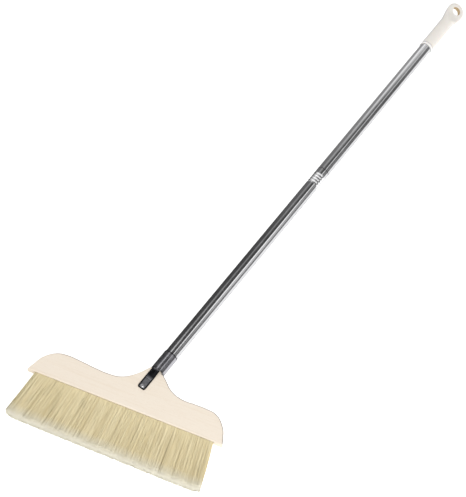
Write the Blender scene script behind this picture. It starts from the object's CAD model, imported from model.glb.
"""Soft bristle indoor broom: its finishes, its strands, the light and the camera."""

import math
import random

import bmesh
import bpy
from mathutils import Matrix, Vector


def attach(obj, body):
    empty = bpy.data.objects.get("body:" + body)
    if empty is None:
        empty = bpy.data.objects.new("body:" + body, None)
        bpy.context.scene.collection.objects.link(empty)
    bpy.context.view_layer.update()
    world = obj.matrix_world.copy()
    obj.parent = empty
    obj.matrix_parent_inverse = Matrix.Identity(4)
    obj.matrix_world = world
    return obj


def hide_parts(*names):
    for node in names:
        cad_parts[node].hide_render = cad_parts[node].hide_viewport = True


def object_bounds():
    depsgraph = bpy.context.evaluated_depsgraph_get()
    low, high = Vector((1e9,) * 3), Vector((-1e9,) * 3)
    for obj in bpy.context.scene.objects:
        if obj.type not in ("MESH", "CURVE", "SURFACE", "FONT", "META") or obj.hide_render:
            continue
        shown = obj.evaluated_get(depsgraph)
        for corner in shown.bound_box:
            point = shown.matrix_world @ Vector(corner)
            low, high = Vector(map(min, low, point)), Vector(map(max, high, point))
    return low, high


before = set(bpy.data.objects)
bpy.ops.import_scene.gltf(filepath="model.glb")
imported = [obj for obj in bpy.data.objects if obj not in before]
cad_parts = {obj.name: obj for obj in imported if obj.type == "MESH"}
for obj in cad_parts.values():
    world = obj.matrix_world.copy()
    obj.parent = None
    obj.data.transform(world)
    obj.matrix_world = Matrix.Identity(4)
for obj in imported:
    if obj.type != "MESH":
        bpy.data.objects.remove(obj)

CAD_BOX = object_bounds()

# The head: its own frame stands in the middle of the board's lower edge
HANDLE_LEAN = math.radians(14.86)
HANDLE_OFFSET = 0.0035
HOLE_TO_HEAD = 1.1735
HEAD = Matrix.Translation((-HANDLE_OFFSET, 0, -HOLE_TO_HEAD)) @ Matrix.Rotation(-HANDLE_LEAN, 4, "Y")

# The grip's flat end: its turn about the handle, its hole, and how far past the hole's radius its
# darkened wall is looked for
GRIP_TURN = math.radians(25)
HANG_HOLE_RADIUS = 0.0095
HOLE_MARGIN = 0.00005

# The socket: where its sleeve ends in a fork, its front tongue, and how far inside the tongue's
# edges the gathered paint starts and is full
FORK_TOP = -1.086
TONGUE_MIDDLE = -0.0027
TONGUE_HALF_WIDTH = 0.0076
BORDER_START = 0.0038
BORDER_FULL = 0.0014

# Bands across the handle, each with its middle height, half its width and its fade
RINGS_BAND = (-0.5699, 0.0135, 0.0030)
SEAM_BAND = (-0.5420, 0.0008, 0.0006)
BEAD_BAND = (-0.1308, 0.0024, 0.0004)
GROOVE_BAND = (-0.1272, 0.0006, 0.0009)
RIM_BAND = (-1.0453, 0.0008, 0.0010)
FORK_BAND = (-1.0955, 0.0055, 0.0100)
FOOT_BAND = (-1.1310, 0.0022, 0.0016)

# Turned walls: how much of its length a facet's turned normal keeps where it belongs to the wall,
# and a height below the whole broom
ROUND_FACE = 0.97
BELOW_ALL = -2.0

# Dust on the board: the way the dusty edges face, from which share of it dust starts and is full,
# and how far a normal turns to the board's faces where its edges are rounded
DUST_WAY = (0.45, 0, 0.89)
DUST_RANGE = (0.0, 0.25)
ROUNDED_RANGE = (0.12, 0.45)

# The grip's left flank: the X of its normal at which it starts to grey and is fully grey
FLANK_RANGE = (-0.62, -0.92)

# Strands: the pack's size, and how its tips drift, fan out and are trimmed. The powers keep the
# trim of the corners and the shading of the end faces to the pack's very ends
ROW_NAMES = ("front", "inner_front", "inner_back", "back")
ROW_STEP = 0.0024
ROOT_WIDTH = 0.3285
PACK_SHIFT = 0.0021
STRAND_LENGTH = 0.0893
END_FLARE = 0.0125
END_DRIFT = 0.0034
DEPTH_FLARE = 0.0050
LENGTH_SLOPE = 0.014
LOW_CORNER = 0.05
RAISED_CORNER = 0.055
CORNER_POWER = 24
END_POWER = 40

# Tufts, and the share of a pitch by which every other row is shifted
TUFTS_IN_ROW = 62
TUFT_PITCH = ROOT_WIDTH / TUFTS_IN_ROW
TUFT_RADIUS = 0.0026
STRANDS_IN_TUFT = 38
ROW_SHIFT = 0.25

# A single strand. The power STRAIGHT_START, a little over 1, holds its start to its root's line,
# and its frayed tip starts at TIP_START of its length
STRAND_RADIUS = 0.00023
STRAND_JOINTS = 4
STRAND_SIDES = 3
STRAIGHT_START = 1.04
TAPER = 0.12
TIP_START = 0.92
TIP_RADIUS_SHARE = 1.7
FACE_NORMAL_SHARE = 0.72
RIDGE_START = 0.7
TIP_DOWN_SHARE = 1.6

# Chance: the first row's seed, spreads across and through the pack, ranges, and how far apart
# rows and strands lie in the straw's tones
FIRST_SEED = 40
TUFT_LEAN = (0.0007, 0.0004)
TUFT_BOW = (0.0004, 0.0003)
STRAND_LEAN = (0.0012, 0.0006)
STRAND_BOW = (0.0003, 0.0003)
END_SPARE = (-0.0012, 0)
LENGTH_CHANGE = (-0.02, 0.006)
TWIST_SPREAD = 0.25
ROW_TONE = 0.5
TONE_SPREAD = 0.15

# Colours, in linear light
WHITE = (1, 1, 1)
PALE_WOOD = (0.89, 0.795, 0.675)
WOOD_GRAIN = (0.85, 0.74, 0.605)
WOOD_PORE = (0.93, 0.90, 0.86)
RUBBED_WOOD = (0.93, 0.85, 0.72)
DUSTY_WOOD = (0.43, 0.39, 0.345)
STEEL = (0.60, 0.60, 0.61)
SMUDGED_STEEL = (0.57, 0.57, 0.58)
CLEAN_STEEL = (0.64, 0.64, 0.65)
ROLLED_STEEL = (0.80, 0.80, 0.81)
SEAM_GREY = (0.22, 0.22, 0.23)
BLACK_SHEEN = (0.47, 0.465, 0.495)
BLACK_SHEEN_LOW = (0.38, 0.375, 0.40)
BLACK_EDGE = (0.012, 0.012, 0.013)
BLACK_FORK = (0.018, 0.018, 0.021)
ZINC = (0.70, 0.69, 0.70)
ZINC_DULL = (0.45, 0.45, 0.47)
CREAM = (0.95, 0.905, 0.845)
SMUDGED_CREAM = (0.92, 0.87, 0.80)
RUBBED_CREAM = (0.95, 0.92, 0.88)
GREYED_CREAM = (0.74, 0.73, 0.72)
BEAD_WHITE = (0.99, 0.975, 0.95)
GROOVE_PINK = (0.72, 0.66, 0.64)
HOLE_TAN = (0.56, 0.42, 0.24)
STRAW = (0.975, 0.865, 0.57)
STRAW_DARK = (0.80, 0.675, 0.385)
STRAW_TIP = (0.96, 0.915, 0.76)

# Roughness, from its lowest to its highest
WOOD_ROUGHNESS = (0.42, 0.58)
STEEL_ROUGHNESS = (0.10, 0.17)
BLACK_ROUGHNESS = (0.14, 0.24)
ZINC_ROUGHNESS = (0.20, 0.38)
CREAM_ROUGHNESS = (0.32, 0.46)
STRAW_ROUGHNESS = (0.45, 0.70)

# How fine the wood's grain and pores and the straw's tones are along each axis, how much the
# grain wanders, how strong the pores are, and from where to where the straw pales, down its length
GRAIN_SCALE = (9, 160, 260)
PORE_SCALE = (130, 2200, 2200)
STRAW_SCALE = (950, 9, 1)
GRAIN_WANDER = 0.012
PORE_SHARE = 0.6
TIP_FADE = (STRAND_LENGTH * 0.76, STRAND_LENGTH * 0.99)

# The white wall: its half size, how far it stands behind the broom, its own shade and glow, what
# it glows more for the camera, and the X up to which metal looks through it
WALL_REACH = 6.0
WALL_STAND_OFF = 0.012
WALL_SHADE = (0.8, 0.8, 0.8)
WALL_GLOW = 0.55
CAMERA_GLOW = 0.25
CARD_EDGE = 0.02

# The sky: its level for matt surfaces, and its level in metal outside the soft boxes
FILL_LEVEL = 0.82
SKY_LEVEL = 0.09

# The soft boxes, in degrees: azimuth from the front to the right, height, half width, half height,
# how far their edges fade, and their strength
BOX_SETTINGS = ("Azimuth", "Height", "Half Width", "Half Height", "Softness", "Strength")
SOFT_BOXES = {
    "floor_bounce": (-15, -48, 110, 20, 12, 0.75),
    "low_band": (0, -10, 180, 20, 8, 0.13),
    "low_back_left_strip": (-150, -12, 14, 16, 8, 0.55),
    "low_left_strip": (-98, -12, 10, 16, 8, 0.80),
    "low_front_left_strip": (-52, -12, 14, 16, 8, 0.40),
    "low_front_strip": (-8, -12, 8, 16, 8, 0.80),
    "low_front_right_strip": (38, -12, 13, 16, 8, 0.45),
    "low_right_strip": (84, -12, 9, 16, 8, 0.85),
    "low_back_right_strip": (132, -12, 14, 16, 8, 0.50),
    "low_back_strip": (172, -12, 8, 16, 8, 0.75),
    "ring_line": (-25, 12, 80, 2, 4, 1.15),
    "ring_glint": (95, 12, 14, 4, 4, 0.90),
    "left_ceiling": (-90, 45, 75, 3, 14, 0.48),
    "ceiling": (10, 47, 80, 5, 5, 0.26),
    "upper_left_window": (-43, 46, 14, 6.5, 4, 0.85),
    "upper_front_window": (-2, 48, 18, 6, 3, 0.75),
    "left_strip": (-37, 24, 9, 12, 7, 0.22),
    "left_line": (-28, 19, 6, 3, 2, 1.7),
    "tongue_card": (-10, 16, 5, 3.5, 3, 0.28),
    "right_strip": (27, 38, 4, 12, 5, 0.9),
    "right_window": (29, 27.5, 5, 3.5, 4, 1.5),
    "far_right_window": (50, 28.4, 10, 1.5, 4, 0.95),
    "far_right_glow": (68, 29, 13, 5, 5, 0.30),
}

# The key lamp: its place, the point it shines at, its side in metres and its power in watts
LAMP_PLACE = (1.2, -2.0, -2.3)
LAMP_TARGET = (0, 0, -0.9)
LAMP_SIDE = 1.6
LAMP_POWER = 37

# The camera, in the head's frame, and its focal length and picture width in pixels
CAMERA_PLACE = (0.21659, -1.91747, -0.76896)
CAMERA_TURN = -0.08024
CAMERA_RISE = 0.53599
CAMERA_ROLL = 0.40572
FOCAL_PIXELS = 1199.9
PICTURE_WIDTH = 466

# The sockets of a mix node, which has a set for each kind of value
MIX_FACTOR = 0
FLOAT_A, FLOAT_B, FLOAT_OUT = 2, 3, 0
VECTOR_A, VECTOR_B, VECTOR_OUT = 4, 5, 1
COLOUR_A, COLOUR_B, COLOUR_OUT = 6, 7, 2


# Small helpers for node trees

def fill(tree, node, values):
    """Sets a node's inputs, by name or number, to constants or to other nodes' outputs."""
    for socket, value in values.items():
        if isinstance(value, bpy.types.NodeSocket):
            tree.links.new(value, node.inputs[socket])
        else:
            node.inputs[socket].default_value = value


def add(tree, kind, at, values=None, **settings):
    """A new node, with its settings made before its inputs are filled."""
    made = tree.nodes.new(kind)
    made.location = at
    for name, value in settings.items():
        setattr(made, name, value)
    fill(tree, made, values or {})
    return made


def calc(tree, operation, at, *terms, **settings):
    """The result of a maths node."""
    values = dict(enumerate(terms))
    return add(tree, "ShaderNodeMath", at, values, operation=operation, **settings).outputs[0]


def vector_calc(tree, operation, at, *terms):
    """The result of a vector maths node: a number for a dot product or a length, or else a vector."""
    made = add(tree, "ShaderNodeVectorMath", at, dict(enumerate(terms)), operation=operation)
    return made.outputs["Value" if operation in ("DOT_PRODUCT", "LENGTH") else "Vector"]


def split(tree, vector, at):
    """A vector's X, Y and Z."""
    return add(tree, "ShaderNodeSeparateXYZ", at, {"Vector": vector}).outputs


def climb(tree, value, ends, at, interpolation="SMOOTHSTEP"):
    """0 before the first end and 1 after the second."""
    values = {"Value": value, "From Min": ends[0], "From Max": ends[1]}
    return add(tree, "ShaderNodeMapRange", at, values, interpolation_type=interpolation).outputs["Result"]


def share_within(tree, value, middle, half, fade, at):
    """1 where a value lies within half of the middle, faded outside it. All of these are sockets."""
    x, y = at
    off = calc(tree, "SUBTRACT", (x, y), value, middle)
    far = calc(tree, "ABSOLUTE", (x + 200, y), off)
    edge = calc(tree, "ADD", (x + 200, y - 120), half, fade)
    values = {"Value": far, "From Min": half, "From Max": edge, "To Min": 1.0, "To Max": 0.0}
    share = add(tree, "ShaderNodeMapRange", (x + 400, y), values, interpolation_type="SMOOTHSTEP")
    return share.outputs["Result"]


def stretched_noise(tree, vector, stretch, at, detail=2.0):
    """Noise with a scale of its own along each axis."""
    x, y = at
    stretched = vector_calc(tree, "MULTIPLY", (x, y), vector, stretch)
    values = {"Vector": stretched, "Scale": 1.0, "Detail": detail}
    return add(tree, "ShaderNodeTexNoise", (x + 200, y), values).outputs["Fac"]


def new_group(name, inputs, output, kind="NodeSocketFloat"):
    """An empty shader group with its sockets made: inputs with their values, and one output."""
    group = bpy.data.node_groups.new(name, "ShaderNodeTree")
    for socket, value in inputs.items():
        made = group.interface.new_socket(name=socket, in_out="INPUT", socket_type="NodeSocketFloat")
        made.default_value = value
    group.interface.new_socket(name=output, in_out="OUTPUT", socket_type=kind)
    entry = add(group, "NodeGroupInput", (-1200, 0))
    leave = add(group, "NodeGroupOutput", (1400, 0))
    return group, entry.outputs, leave


def place_group(tree, group, at, values, label=""):
    """The output of a shader group's node."""
    return add(tree, "ShaderNodeGroup", at, values, node_tree=group, label=label).outputs[0]


def put_in_scene(name, data):
    made = bpy.data.objects.new(name, data)
    bpy.context.scene.collection.objects.link(made)
    return made


# Effects that several finishes share

def handling_smudge_group():
    """Soft uneven patches, as left by hands and cloths: a share from 0 to 1."""
    group, given, leave = new_group("handling_smudge", {"Scale": 30.0, "Contrast": 1.0}, "Smudge")
    place = add(group, "ShaderNodeTexCoord", (-800, 200)).outputs["Object"]
    values = {"Vector": place, "Scale": given["Scale"], "Detail": 3.0, "Roughness": 0.6}
    noise = add(group, "ShaderNodeTexNoise", (-500, 100), values)
    off = calc(group, "SUBTRACT", (-250, 100), noise.outputs["Fac"], 0.5)
    smudge = calc(group, "MULTIPLY_ADD", (-50, 100), off, given["Contrast"], 0.5, use_clamp=True)
    fill(group, leave, {"Smudge": smudge})
    return group


def edge_wear_group():
    """Where a surface turns a corner within the given radius, broken up by fine noise."""
    inputs = {"Radius": 0.0008, "Amount": 3.0, "Scale": 900.0}
    group, given, leave = new_group("edge_wear", inputs, "Wear")
    bevel = add(group, "ShaderNodeBevel", (-550, 150), {"Radius": given["Radius"]}, samples=4)
    true = add(group, "ShaderNodeNewGeometry", (-550, -50))
    place = add(group, "ShaderNodeTexCoord", (-800, -200)).outputs["Object"]
    values = {"Vector": place, "Scale": given["Scale"], "Detail": 2.0}
    noise = add(group, "ShaderNodeTexNoise", (-550, -300), values)
    turn = vector_calc(group, "DOT_PRODUCT", (-350, 100), bevel.outputs["Normal"], true.outputs["Normal"])
    lost = calc(group, "SUBTRACT", (-180, 100), 1.0, turn, use_clamp=True)
    scaled = calc(group, "MULTIPLY", (0, 100), lost, given["Amount"])
    broken = calc(group, "MULTIPLY", (180, 50), scaled, noise.outputs["Fac"], use_clamp=True)
    fill(group, leave, {"Wear": broken})
    return group


def long_streak_group():
    """Noise drawn out along the object's Z axis."""
    group, given, leave = new_group("long_streak", {"Across": 900.0, "Along": 6.0}, "Streak")
    place = add(group, "ShaderNodeTexCoord", (-800, 200)).outputs["Object"]
    values = {"X": given["Across"], "Y": given["Across"], "Z": given["Along"]}
    scale = add(group, "ShaderNodeCombineXYZ", (-600, -100), values).outputs["Vector"]
    fill(group, leave, {"Streak": stretched_noise(group, place, scale, (-400, 100))})
    return group


def height_band_group():
    """A band across the handle: 1 within half of the middle height, faded outside it."""
    inputs = {"Middle": 0.0, "Half": 0.001, "Fade": 0.001}
    group, given, leave = new_group("height_band", inputs, "Band")
    place = add(group, "ShaderNodeTexCoord", (-1000, 200)).outputs["Object"]
    height = split(group, place, (-800, 200))["Z"]
    band = share_within(group, height, given["Middle"], given["Half"], given["Fade"], (-600, 200))
    fill(group, leave, {"Band": band})
    return group


def round_wall_group():
    """The true normal of a turned wall with flat facets, straight out from the axis at the facet's slope.

    Faces that aren't part of the round wall, and all below Lowest, keep their own normal.
    """
    group, given, leave = new_group("round_wall", {"Lowest": BELOW_ALL}, "Normal", "NodeSocketVector")
    place = add(group, "ShaderNodeTexCoord", (-1000, 200))
    point, normal = place.outputs["Object"], place.outputs["Normal"]
    level = vector_calc(group, "MULTIPLY", (-800, 300), point, (1, 1, 0))
    outward = vector_calc(group, "NORMALIZE", (-600, 300), level)
    along = vector_calc(group, "DOT_PRODUCT", (-400, 200), normal, outward)
    slope = vector_calc(group, "MULTIPLY", (-800, 0), normal, (0, 0, 1))
    values = {"Vector": outward, "Scale": along}
    spread = add(group, "ShaderNodeVectorMath", (-200, 300), values, operation="SCALE")
    turned = vector_calc(group, "ADD", (0, 200), spread.outputs["Vector"], slope)
    length = vector_calc(group, "LENGTH", (200, 0), turned)
    round_face = calc(group, "GREATER_THAN", (400, 0), length, ROUND_FACE)
    height = split(group, point, (-800, -200))["Z"]
    above = calc(group, "GREATER_THAN", (-400, -200), height, given["Lowest"])
    used = calc(group, "MULTIPLY", (600, -100), round_face, above)
    values = {MIX_FACTOR: used, VECTOR_A: normal, VECTOR_B: turned}
    chosen = add(group, "ShaderNodeMix", (800, 100), values, data_type="VECTOR")
    out = vector_calc(group, "NORMALIZE", (1000, 100), chosen.outputs[VECTOR_OUT])
    world = add(
        group, "ShaderNodeVectorTransform", (1200, 100), {"Vector": out},
        vector_type="NORMAL", convert_from="OBJECT", convert_to="WORLD",
    )
    fill(group, leave, {"Normal": world.outputs["Vector"]})
    return group


SMUDGE = handling_smudge_group()
EDGE_WEAR = edge_wear_group()
STREAK = long_streak_group()
BAND = height_band_group()
ROUND_WALL = round_wall_group()


# Helpers for finishes

def new_finish(name, colour, roughness, metallic=0.0):
    """A new material, with plain values for viewers that don't run its nodes."""
    finish = bpy.data.materials.new(name)
    finish.use_nodes = True
    finish.diffuse_color = (*colour, 1)
    tree = finish.node_tree
    shader = tree.nodes["Principled BSDF"]
    fill(tree, shader, {"Base Color": (*colour, 1), "Roughness": roughness, "Metallic": metallic})
    return finish, tree, shader


def vary(tree, share, ends, at):
    """Maps a share from 0 to 1 onto the range between two ends."""
    values = {"Value": share, "To Min": ends[0], "To Max": ends[1]}
    return add(tree, "ShaderNodeMapRange", at, values).outputs["Result"]


def two_tone(tree, share, first, second, at, start=0.0, stop=1.0):
    """One colour up to the start and another after the stop, blended between them."""
    ramp = add(tree, "ShaderNodeValToRGB", at, {"Fac": share})
    ramp.color_ramp.elements[0].position = start
    ramp.color_ramp.elements[0].color = (*first, 1)
    ramp.color_ramp.elements[1].position = stop
    ramp.color_ramp.elements[1].color = (*second, 1)
    return ramp.outputs["Color"]


def lay_over(tree, under, colour, mask, at):
    """The colour under it, covered by another where the mask is 1."""
    values = {MIX_FACTOR: mask, COLOUR_A: under, COLOUR_B: (*colour, 1)}
    return add(tree, "ShaderNodeMix", at, values, data_type="RGBA").outputs[COLOUR_OUT]


def place_band(tree, band, at):
    return place_group(tree, BAND, at, dict(zip(("Middle", "Half", "Fade"), band)))


def add_bump(tree, shader, height, strength, distance, round_above=None):
    """Fine relief. Turned walls above the height round_above also get their true round normal."""
    values = {"Strength": strength, "Distance": distance, "Height": height}
    bump = add(tree, "ShaderNodeBump", (-150, -350), values)
    if round_above is not None:
        wall = place_group(tree, ROUND_WALL, (-400, -550), {"Lowest": round_above})
        fill(tree, bump, {"Normal": wall})
    fill(tree, shader, {"Normal": bump.outputs["Normal"]})


# Masks

def upper_edge(tree, at):
    """The rounded edges that face up or to the raised end, where hands and dust have greyed them."""
    x, y = at
    normal = add(tree, "ShaderNodeNewGeometry", (x, y)).outputs["Normal"]
    turn = vector_calc(tree, "DOT_PRODUCT", (x + 200, y), normal, DUST_WAY)
    share = climb(tree, turn, DUST_RANGE, (x + 400, y))
    depth = calc(tree, "ABSOLUTE", (x + 400, y - 200), split(tree, normal, (x + 200, y - 200))["Y"])
    rounded = climb(tree, depth, ROUNDED_RANGE, (x + 600, y - 200))
    return calc(tree, "MULTIPLY", (x + 800, y), share, rounded)


def gathered_paint(tree, at):
    """Where the black finish has gathered: the sleeve's rim, the fork and the tongues' borders and feet."""
    x, y = at
    place = add(tree, "ShaderNodeTexCoord", (x, y)).outputs["Object"]
    parts = split(tree, place, (x + 200, y))
    off = calc(tree, "SUBTRACT", (x + 400, y), parts["X"], TONGUE_MIDDLE)
    far = calc(tree, "ABSOLUTE", (x + 600, y), off)
    ends = (TONGUE_HALF_WIDTH - BORDER_START, TONGUE_HALF_WIDTH - BORDER_FULL)
    border = climb(tree, far, ends, (x + 800, y))
    below = calc(tree, "LESS_THAN", (x + 400, y - 200), parts["Z"], FORK_TOP)
    total = calc(tree, "MULTIPLY", (x + 1000, y), border, below)
    for i, band in enumerate((RIM_BAND, FORK_BAND, FOOT_BAND)):
        across = place_band(tree, band, (x + 800, y + 200 + 200 * i))
        total = calc(tree, "MAXIMUM", (x + 1200 + 200 * i, y), total, across)
    return total


def left_flank(tree, at):
    """The flank that faces left, which greys where the broom is leaned on things."""
    x, y = at
    normal = add(tree, "ShaderNodeNewGeometry", (x, y)).outputs["Normal"]
    return climb(tree, split(tree, normal, (x + 200, y))["X"], FLANK_RANGE, (x + 400, y))


def hole_wall(tree, at):
    """The hanging hole's inner wall, where hooks have darkened the plastic."""
    x, y = at
    place = add(tree, "ShaderNodeTexCoord", (x, y)).outputs["Object"]
    values = {"Vector": place, "Angle": -GRIP_TURN}
    level = add(tree, "ShaderNodeVectorRotate", (x + 200, y), values, rotation_type="Z_AXIS")
    flat = vector_calc(tree, "MULTIPLY", (x + 400, y), level.outputs["Vector"], (1, 0, 1))
    out = vector_calc(tree, "LENGTH", (x + 600, y), flat)
    return calc(tree, "LESS_THAN", (x + 800, y), out, HANG_HOLE_RADIUS + HOLE_MARGIN)


# Finishes

def pale_wood():
    """Close-grained pale wood with a soft sheen, its grain along the board."""
    finish, tree, shader = new_finish("pale_wood", PALE_WOOD, roughness=0.5)
    place = add(tree, "ShaderNodeTexCoord", (-1500, 0)).outputs["Object"]
    values = {"Vector": place, "Rotation": (0, -HANDLE_LEAN, 0)}
    straight = add(tree, "ShaderNodeMapping", (-1300, 0), values, vector_type="TEXTURE").outputs["Vector"]
    bend = add(tree, "ShaderNodeTexNoise", (-1100, -250), {"Vector": straight, "Scale": 9.0})
    values = {MIX_FACTOR: GRAIN_WANDER, VECTOR_A: straight, VECTOR_B: bend.outputs["Color"]}
    bent = add(tree, "ShaderNodeMix", (-900, 0), values, data_type="VECTOR").outputs[VECTOR_OUT]
    grain = stretched_noise(tree, bent, GRAIN_SCALE, (-700, 100), detail=4.0)
    pore = stretched_noise(tree, bent, PORE_SCALE, (-700, -200))
    tone = two_tone(tree, grain, WOOD_GRAIN, PALE_WOOD, (-250, 150), start=0.22, stop=0.52)
    flecks = two_tone(tree, pore, WOOD_PORE, WHITE, (-250, -100), start=0.30, stop=0.45)
    values = {MIX_FACTOR: PORE_SHARE, COLOUR_A: tone, COLOUR_B: flecks}
    body = add(tree, "ShaderNodeMix", (0, 100), values, data_type="RGBA", blend_type="MULTIPLY")
    wear = place_group(tree, EDGE_WEAR, (-250, 400), {"Radius": 0.0015, "Amount": 2.0, "Scale": 400.0})
    rubbed = lay_over(tree, body.outputs[COLOUR_OUT], RUBBED_WOOD, wear, (200, 150))
    dusty = lay_over(tree, rubbed, DUSTY_WOOD, upper_edge(tree, (-700, 700)), (400, 150))
    fill(tree, shader, {"Base Color": dusty, "Roughness": vary(tree, grain, WOOD_ROUGHNESS, (0, -100))})
    add_bump(tree, shader, pore, strength=0.12, distance=0.0003)
    return finish


def polished_steel():
    """Drawn and polished tube with faint lines along it and handling marks, paler on its rolled rings."""
    finish, tree, shader = new_finish("polished_steel", STEEL, roughness=0.2, metallic=1.0)
    smudge = place_group(tree, SMUDGE, (-700, 100), {"Scale": 38.0, "Contrast": 1.6})
    lines = place_group(tree, STREAK, (-700, -150), {"Across": 1500.0, "Along": 7.0})
    base = two_tone(tree, smudge, SMUDGED_STEEL, CLEAN_STEEL, (-400, 250))
    rolled = lay_over(tree, base, ROLLED_STEEL, place_band(tree, RINGS_BAND, (-700, 400)), (-200, 350))
    joined = lay_over(tree, rolled, SEAM_GREY, place_band(tree, SEAM_BAND, (-700, 600)), (0, 400))
    fill(tree, shader, {"Base Color": joined, "Roughness": vary(tree, smudge, STEEL_ROUGHNESS, (-400, 0))})
    add_bump(tree, shader, lines, strength=0.05, distance=0.00004, round_above=BELOW_ALL)
    return finish


def black_paint():
    """Black-chromed steel, darker along its edges and where the finish has gathered."""
    finish, tree, shader = new_finish("black_paint", BLACK_SHEEN, roughness=0.2, metallic=1.0)
    wear = place_group(tree, EDGE_WEAR, (-700, 200), {"Radius": 0.0017, "Amount": 3.0, "Scale": 1300.0})
    smudge = place_group(tree, SMUDGE, (-700, -50), {"Scale": 120.0, "Contrast": 1.4})
    peel = add(tree, "ShaderNodeTexNoise", (-700, -300), {"Scale": 700.0}).outputs["Fac"]
    body = two_tone(tree, smudge, BLACK_SHEEN_LOW, BLACK_SHEEN, (-500, 400))
    edged = lay_over(tree, body, BLACK_EDGE, wear, (-300, 250))
    forked = lay_over(tree, edged, BLACK_FORK, gathered_paint(tree, (-1700, 500)), (-100, 350))
    fill(tree, shader, {"Base Color": forked, "Roughness": vary(tree, smudge, BLACK_ROUGHNESS, (-300, 0))})
    add_bump(tree, shader, peel, strength=0.06, distance=0.00015, round_above=FORK_TOP)
    return finish


def bright_zinc():
    """Bright plated steel with duller patches."""
    finish, tree, shader = new_finish("bright_zinc", ZINC, roughness=0.28, metallic=1.0)
    smudge = place_group(tree, SMUDGE, (-700, 100), {"Scale": 600.0, "Contrast": 2.0})
    base = two_tone(tree, smudge, ZINC_DULL, ZINC, (-400, 250))
    fill(tree, shader, {"Base Color": base, "Roughness": vary(tree, smudge, ZINC_ROUGHNESS, (-400, 0))})
    add_bump(tree, shader, smudge, strength=0.1, distance=0.0001)
    return finish


def cream_plastic():
    """Semi-gloss moulded plastic with a fine moulded texture."""
    finish, tree, shader = new_finish("cream_plastic", CREAM, roughness=0.38)
    smudge = place_group(tree, SMUDGE, (-700, 150), {"Scale": 60.0, "Contrast": 1.5})
    wear = place_group(tree, EDGE_WEAR, (-700, 350), {"Radius": 0.0012, "Amount": 1.5, "Scale": 500.0})
    fine = add(tree, "ShaderNodeTexNoise", (-700, -200), {"Scale": 2600.0}).outputs["Fac"]
    colour = two_tone(tree, smudge, SMUDGED_CREAM, CREAM, (-400, 250), start=0.1, stop=0.6)
    layers = (
        (RUBBED_CREAM, wear),
        (GREYED_CREAM, left_flank(tree, (-1500, 1400))),
        (BEAD_WHITE, place_band(tree, BEAD_BAND, (-700, 700))),
        (GROOVE_PINK, place_band(tree, GROOVE_BAND, (-700, 900))),
        (HOLE_TAN, hole_wall(tree, (-1500, 500))),
    )
    for i, (cover, mask) in enumerate(layers):
        colour = lay_over(tree, colour, cover, mask, (-1100 + 200 * i, 1200))
    fill(tree, shader, {"Base Color": colour, "Roughness": vary(tree, smudge, CREAM_ROUGHNESS, (-400, 0))})
    fill(tree, shader, {"Subsurface Weight": 0.08, "Subsurface Radius": (0.004, 0.003, 0.002)})
    add_bump(tree, shader, fine, strength=0.1, distance=0.00012)
    return finish


def straw_strands():
    """Dyed straw-coloured strands: darker between the tufts and paler at the split tips."""
    finish, tree, shader = new_finish("straw_strands", STRAW, roughness=0.55)
    run = add(tree, "ShaderNodeUVMap", (-1300, 0), uv_map="strand_run").outputs["UV"]
    tone = stretched_noise(tree, run, STRAW_SCALE, (-1100, -200), detail=1.0)
    single = two_tone(tree, tone, STRAW_DARK, STRAW, (-650, -200), start=0.28, stop=0.58)
    down = split(tree, run, (-1100, 0))["Y"]
    tip = climb(tree, down, TIP_FADE, (-900, 150), "LINEAR")
    faded = lay_over(tree, single, STRAW_TIP, tip, (-350, 0))
    fill(tree, shader, {"Base Color": faded, "Roughness": vary(tree, tone, STRAW_ROUGHNESS, (-350, -250))})
    fill(tree, shader, {"Specular IOR Level": 0.35})
    return finish


# Strands

def strand_path(root, tip, bow):
    """Points down a strand that leaves its root straight and bows a little on its way."""
    shares = [TIP_START * i / (STRAND_JOINTS - 1) for i in range(STRAND_JOINTS)]
    for share in shares + [1.0]:
        yield share, root.lerp(tip, share ** STRAIGHT_START) + bow * math.sin(math.pi * share)


def strand_thickness(share):
    """Nearly even down to the frayed tip, which is wider."""
    return 1 - TAPER * share if share <= TIP_START else TIP_RADIUS_SHARE


def strand_normal(offset, flat_side, end_share, down):
    """Shades a strand as part of the pack's face on its flat side, and its ridge as part of the other."""
    side = -flat_side if offset.y * flat_side < -RIDGE_START else flat_side
    face = Vector((end_share, side, 0)).normalized()
    return HEAD.to_3x3() @ (offset.lerp(face, FACE_NORMAL_SHARE) + Vector((0, 0, -down))).normalized()


def grow_strand(bm, uv, normals, root, tip, bow, flat_side, twist, tone):
    """One three-sided strand with a blunt end. Its map holds its own tone and the way down it."""
    end_share = share_at_end(root)
    rings = []
    for share, point in strand_path(root, tip, bow):
        thin = STRAND_RADIUS * strand_thickness(share)
        down = TIP_DOWN_SHARE * max(0, share - TIP_START) / (1 - TIP_START)
        ring = []
        for corner in range(STRAND_SIDES):
            angle = twist - flat_side * math.pi / 2 + corner * math.tau / STRAND_SIDES
            offset = Vector((math.cos(angle), math.sin(angle), 0))
            ring.append((bm.verts.new(HEAD @ (point + offset * thin)), share))
            normals.append(strand_normal(offset, flat_side, end_share, down))
        rings.append(ring)
    ends = [rings[0], rings[-1][::-1]]
    walls = []
    for upper, lower in zip(rings, rings[1:]):
        for corner in range(STRAND_SIDES):
            after = (corner + 1) % STRAND_SIDES
            walls.append((upper[corner], lower[corner], lower[after], upper[after]))
    for corners in walls + ends:
        face = bm.faces.new([vert for vert, share in corners])
        face.smooth = len(corners) == 4
        for loop, (vert, share) in zip(face.loops, corners):
            loop[uv].uv = (tone, share * STRAND_LENGTH)


def stray(chance, spreads):
    """A random offset across and through the pack."""
    across, through = spreads
    return Vector((chance.gauss(0, across), chance.gauss(0, through), 0))


def share_across(root):
    """-1 at the pack's low end and 1 at its raised end."""
    return (root.x + PACK_SHIFT) / (ROOT_WIDTH / 2)


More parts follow.
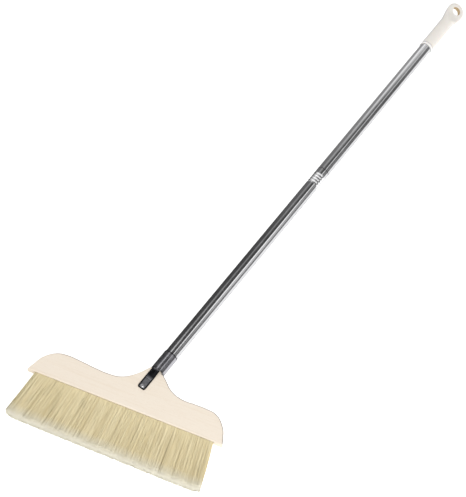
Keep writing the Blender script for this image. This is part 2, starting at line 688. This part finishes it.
def tip_of(root, row_depth):
    """Where a strand would end if it lay evenly: the pack fans out and leans to the low end."""
    share_x = share_across(root)
    x = root.x + share_x * END_FLARE - END_DRIFT
    y = root.y * (1 + DEPTH_FLARE / row_depth)
    corner = LOW_CORNER if share_x < 0 else RAISED_CORNER
    trim = corner * abs(share_x) ** CORNER_POWER - LENGTH_SLOPE * share_x
    return Vector((x, y, -STRAND_LENGTH * (1 - trim)))


def share_at_end(root):
    """1 at the pack's raised end, -1 at its low end, and near 0 between them."""
    share_x = share_across(root)
    return math.copysign(abs(share_x) ** END_POWER, share_x)


def held_inside(point, down, spare):
    """Keeps a point between the pack's two straight ends."""
    middle = -PACK_SHIFT - END_DRIFT * down
    half = ROOT_WIDTH / 2 + END_FLARE * down + spare
    point.x = max(middle - half, min(middle + half, point.x))
    return point


def grow_tuft(bm, uv, normals, chance, row, centre):
    """One bundle of strands that spreads until it meets its neighbours."""
    depth = ROW_STEP * len(ROW_NAMES) / 2
    flat_side = math.copysign(1, centre.y)
    lean = stray(chance, TUFT_LEAN)
    bow = stray(chance, TUFT_BOW)
    for _ in range(STRANDS_IN_TUFT):
        angle = chance.uniform(0, math.tau)
        out = math.sqrt(chance.random())
        spread = Vector((out * math.cos(angle) * TUFT_RADIUS, out * math.sin(angle) * ROW_STEP / 2, 0))
        root = held_inside(centre + spread, 0, 0)
        loose = stray(chance, STRAND_LEAN)
        tip = held_inside(tip_of(root, depth) + lean + loose, 1, chance.uniform(*END_SPARE))
        tip.z *= 1 + chance.uniform(*LENGTH_CHANGE)
        own_bow = bow + stray(chance, STRAND_BOW)
        tone = root.x + row * ROW_TONE + chance.uniform(0, TUFT_PITCH * TONE_SPREAD)
        twist = chance.gauss(0, TWIST_SPREAD)
        grow_strand(bm, uv, normals, root, tip, own_bow, flat_side, twist, tone)


def strand_row(row, finish):
    """One row of tufts, in place of the CAD row of the same name."""
    name = "bristle_strands_" + ROW_NAMES[row]
    chance = random.Random(FIRST_SEED + row)
    bm = bmesh.new()
    uv = bm.loops.layers.uv.new("strand_run")
    normals = []
    y = (row - (len(ROW_NAMES) - 1) / 2) * ROW_STEP
    shift = ROW_SHIFT if row % 2 else -ROW_SHIFT
    for tuft in range(TUFTS_IN_ROW):
        x = (tuft + 0.5 + shift) * TUFT_PITCH - ROOT_WIDTH / 2 - PACK_SHIFT
        grow_tuft(bm, uv, normals, chance, row, Vector((x, y, 0)))
    mesh = bpy.data.meshes.new(name)
    bm.to_mesh(mesh)
    bm.free()
    mesh.normals_split_custom_set_from_vertices(normals)
    mesh.materials.append(finish)
    strands = put_in_scene(name, mesh)
    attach(strands, "lower_handle_and_head")
    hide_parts("bristle_row_" + ROW_NAMES[row])


# Stage, light and camera

def wall_finish():
    """A white surface that keeps the broom's shadow, and is see-through from behind.

    Metal looks through its part left of CARD_EDGE, into the sky and its soft boxes, and sees the
    rest as white.
    """
    finish = bpy.data.materials.new("white_wall")
    finish.use_nodes = True
    tree = finish.node_tree
    tree.nodes.clear()
    ray = add(tree, "ShaderNodeLightPath", (-900, 200)).outputs
    side = add(tree, "ShaderNodeNewGeometry", (-900, -200)).outputs
    x = split(tree, side["Position"], (-700, -300))["X"]
    left = calc(tree, "LESS_THAN", (-500, -300), x, CARD_EDGE)
    carded = calc(tree, "MULTIPLY", (-300, -300), left, ray["Is Glossy Ray"])
    hidden = calc(tree, "MAXIMUM", (-100, -300), carded, side["Backfacing"])
    lift = calc(tree, "MULTIPLY_ADD", (-300, 200), ray["Is Camera Ray"], CAMERA_GLOW, WALL_GLOW)
    matt = add(tree, "ShaderNodeBsdfDiffuse", (-300, 0), {"Color": (*WALL_SHADE, 1)}).outputs[0]
    glow = add(tree, "ShaderNodeEmission", (-100, 200), {"Strength": lift}).outputs[0]
    both = add(tree, "ShaderNodeAddShader", (100, 100), {0: matt, 1: glow}).outputs[0]
    clear = add(tree, "ShaderNodeBsdfTransparent", (100, -100)).outputs[0]
    turned = add(tree, "ShaderNodeMixShader", (300, 0), {0: hidden, 1: both, 2: clear}).outputs[0]
    add(tree, "ShaderNodeOutputMaterial", (500, 0), {"Surface": turned})
    return finish


def make_wall():
    """The broom lies against an upright white surface, like one laid on a white table."""
    reach = WALL_REACH
    back = CAD_BOX[1].y + WALL_STAND_OFF
    mesh = bpy.data.meshes.new("white_wall")
    corners = [(-reach, back, -reach), (reach, back, -reach), (reach, back, reach), (-reach, back, reach)]
    mesh.from_pydata(corners, [], [(0, 1, 2, 3)])
    mesh.materials.append(wall_finish())
    wall = put_in_scene("white_wall", mesh)


def soft_box_group():
    """The light of one soft box for a direction: full inside its half sizes, faded outside them."""
    inputs = dict.fromkeys(("Turn", "Rise", *BOX_SETTINGS), 0.0)
    group, given, leave = new_group("soft_box", inputs, "Light")
    shares = []
    for i, names in enumerate((("Turn", "Azimuth", "Half Width"), ("Rise", "Height", "Half Height"))):
        way, middle, half = (given[name] for name in names)
        shares.append(share_within(group, way, middle, half, given["Softness"], (-550, -250 * i)))
    both = calc(group, "MULTIPLY", (50, 0), *shares)
    fill(group, leave, {"Light": calc(group, "MULTIPLY", (250, 0), both, given["Strength"])})
    return group


def direction_angles(tree):
    """The sky direction's azimuth from the front to the right and its height, both in degrees."""
    way = add(tree, "ShaderNodeTexCoord", (-2300, 0)).outputs["Generated"]
    parts = split(tree, way, (-2100, 0))
    front = calc(tree, "MULTIPLY", (-1900, -150), parts["Y"], -1.0)
    turn = calc(tree, "ARCTAN2", (-1750, 0), parts["X"], front)
    rise = calc(tree, "ARCSINE", (-1750, -300), parts["Z"])
    return [calc(tree, "DEGREES", (-1550, -300 * i), angle) for i, angle in enumerate((turn, rise))]


def make_world():
    """An even sky whose soft boxes the metal mirrors as bands. The camera sees plain white."""
    world = bpy.data.worlds.new("studio")
    bpy.context.scene.world = world
    world.use_nodes = True
    tree = world.node_tree
    tree.nodes.clear()
    turn, rise = direction_angles(tree)
    group = soft_box_group()
    total = SKY_LEVEL
    for i, (name, settings) in enumerate(SOFT_BOXES.items()):
        values = {"Turn": turn, "Rise": rise, **dict(zip(BOX_SETTINGS, settings))}
        box = place_group(tree, group, (-1200, -250 * i), values, name)
        total = calc(tree, "ADD", (-750, -250 * i), total, box)
    ray = add(tree, "ShaderNodeLightPath", (-500, 200)).outputs
    values = {MIX_FACTOR: ray["Is Glossy Ray"], FLOAT_A: FILL_LEVEL, FLOAT_B: total}
    mirrored = add(tree, "ShaderNodeMix", (-500, 0), values, data_type="FLOAT").outputs[FLOAT_OUT]
    soft = add(tree, "ShaderNodeBackground", (-300, 0), {"Strength": mirrored}).outputs[0]
    white = add(tree, "ShaderNodeBackground", (-300, -200), {"Color": (*WHITE, 1)}).outputs[0]
    values = {0: ray["Is Camera Ray"], 1: soft, 2: white}
    both = add(tree, "ShaderNodeMixShader", (0, 0), values).outputs[0]
    add(tree, "ShaderNodeOutputWorld", (200, 0), {"Surface": both})


def make_key_lamp():
    data = bpy.data.lights.new("key_lamp", "AREA")
    data.shape = "RECTANGLE"
    data.size = LAMP_SIDE
    data.size_y = LAMP_SIDE
    data.energy = LAMP_POWER
    lamp = put_in_scene("key_lamp", data)
    lamp.location = LAMP_PLACE
    lamp.rotation_euler = (Vector(LAMP_TARGET) - Vector(LAMP_PLACE)).to_track_quat("-Z", "Y").to_euler()


def make_camera():
    data = bpy.data.cameras.new("camera")
    data.sensor_fit = "HORIZONTAL"
    data.lens = FOCAL_PIXELS / PICTURE_WIDTH * data.sensor_width
    camera = put_in_scene("camera", data)
    turn = Matrix.Rotation(-CAMERA_TURN, 4, "Z")
    rise = Matrix.Rotation(math.pi / 2 + CAMERA_RISE, 4, "X")
    roll = Matrix.Rotation(CAMERA_ROLL, 4, "Z")
    camera.matrix_world = HEAD @ Matrix.Translation(CAMERA_PLACE) @ turn @ rise @ roll
    bpy.context.scene.camera = camera


def dress(node, finish):
    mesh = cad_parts[node].data
    mesh.materials.clear()
    mesh.materials.append(finish)


dress("head_board", pale_wood())
steel = polished_steel()
dress("lower_tube", steel)
dress("upper_tube", steel)
dress("handle_socket", black_paint())
zinc = bright_zinc()
dress("clamp_screw", zinc)
dress("clamp_nut", zinc)
dress("grip", cream_plastic())
straw = straw_strands()
for row in range(len(ROW_NAMES)):
    strand_row(row, straw)
make_wall()
make_world()
make_key_lamp()
make_camera()
bpy.context.scene.view_settings.view_transform = "Standard"
